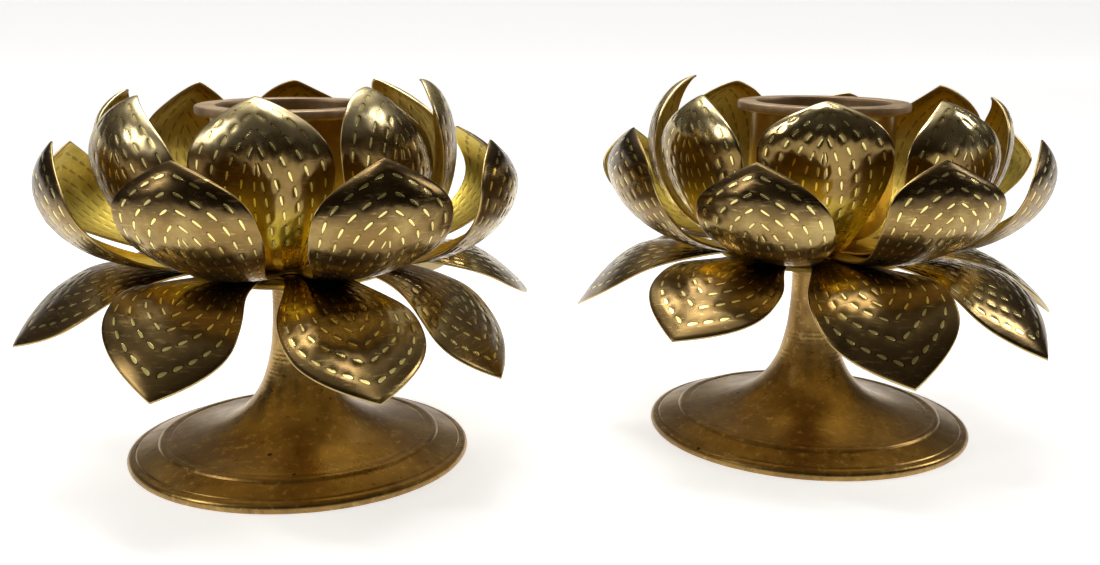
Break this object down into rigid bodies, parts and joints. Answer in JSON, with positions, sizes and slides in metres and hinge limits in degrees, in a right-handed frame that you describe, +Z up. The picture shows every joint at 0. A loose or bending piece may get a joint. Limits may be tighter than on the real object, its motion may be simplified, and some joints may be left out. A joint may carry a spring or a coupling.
{
  "type": "lotus candle holder pair",
  "caption": "Pair of lotus-flower brass holders for a tealight or small votive candle, each a turned pedestal with rings of bent petals round a cup.",
  "frame": {"origin": "on the table midway between the two holders, at the middle of the pair's footprint", "axes": "+X runs in line through the two holders, from the left one to the right one; +Z is up"},
  "size_m": [0.3099, 0.1509, 0.1116],
  "materials": {
    "pedestal": "cast and turned brass with a warm brown patina",
    "support_disc": "turned brass, brighter than the casting",
    "lower_petals": "polished sheet brass, tarnished, with chased dashes",
    "middle_petals": "polished sheet brass, tarnished outside and golden inside, with chased dashes",
    "inner_petals": "polished sheet brass, tarnished outside and golden inside, with chased dashes",
    "cup": "cast brass, dull on the rim and golden in the bowl",
    "washer": "stamped brass washer",
    "screw": "slotted brass screw"
  },
  "bodies": {
    "left_holder": {"left_pedestal": "pedestal", "left_support_disc": "support_disc", "left_washer": "washer", "left_screw": "screw"},
    "left_lower_ring": {"left_lower_petals": "lower_petals"},
    "left_middle_ring": {"left_middle_petals": "middle_petals"},
    "left_inner_ring": {"left_inner_petals": "inner_petals"},
    "left_cup_body": {"left_cup": "cup"},
    "right_holder": {"right_pedestal": "pedestal", "right_support_disc": "support_disc", "right_washer": "washer", "right_screw": "screw"},
    "right_lower_ring": {"right_lower_petals": "lower_petals"},
    "right_middle_ring": {"right_middle_petals": "middle_petals"},
    "right_inner_ring": {"right_inner_petals": "inner_petals"},
    "right_cup_body": {"right_cup": "cup"}
  },
  "joints": [
    {"name": "left_lower_ring_turn", "type": "hinge", "parent": "left_holder", "child": "left_lower_ring", "pos_m": [-0.08, 0, 0.0592], "axis": [0, 0, 1], "continuous": true},
    {"name": "left_middle_ring_turn", "type": "hinge", "parent": "left_holder", "child": "left_middle_ring", "pos_m": [-0.08, 0, 0.0599], "axis": [0, 0, 1], "continuous": true},
    {"name": "left_inner_ring_turn", "type": "hinge", "parent": "left_holder", "child": "left_inner_ring", "pos_m": [-0.08, 0, 0.0606], "axis": [0, 0, 1], "continuous": true},
    {"name": "left_cup_turn", "type": "hinge", "parent": "left_holder", "child": "left_cup_body", "pos_m": [-0.08, 0, 0.0625], "axis": [0, 0, 1], "continuous": true},
    {"name": "right_lower_ring_turn", "type": "hinge", "parent": "right_holder", "child": "right_lower_ring", "pos_m": [0.08, 0, 0.0592], "axis": [0, 0, 1], "continuous": true},
    {"name": "right_middle_ring_turn", "type": "hinge", "parent": "right_holder", "child": "right_middle_ring", "pos_m": [0.08, 0, 0.0599], "axis": [0, 0, 1], "continuous": true},
    {"name": "right_inner_ring_turn", "type": "hinge", "parent": "right_holder", "child": "right_inner_ring", "pos_m": [0.08, 0, 0.0606], "axis": [0, 0, 1], "continuous": true},
    {"name": "right_cup_turn", "type": "hinge", "parent": "right_holder", "child": "right_cup_body", "pos_m": [0.08, 0, 0.0625], "axis": [0, 0, 1], "continuous": true},
    {"name": "right_holder_lift", "type": "slide", "parent": "left_holder", "child": "right_holder", "axis": [0, 0, 1], "range_m": [0, 0.15]}
  ]
}
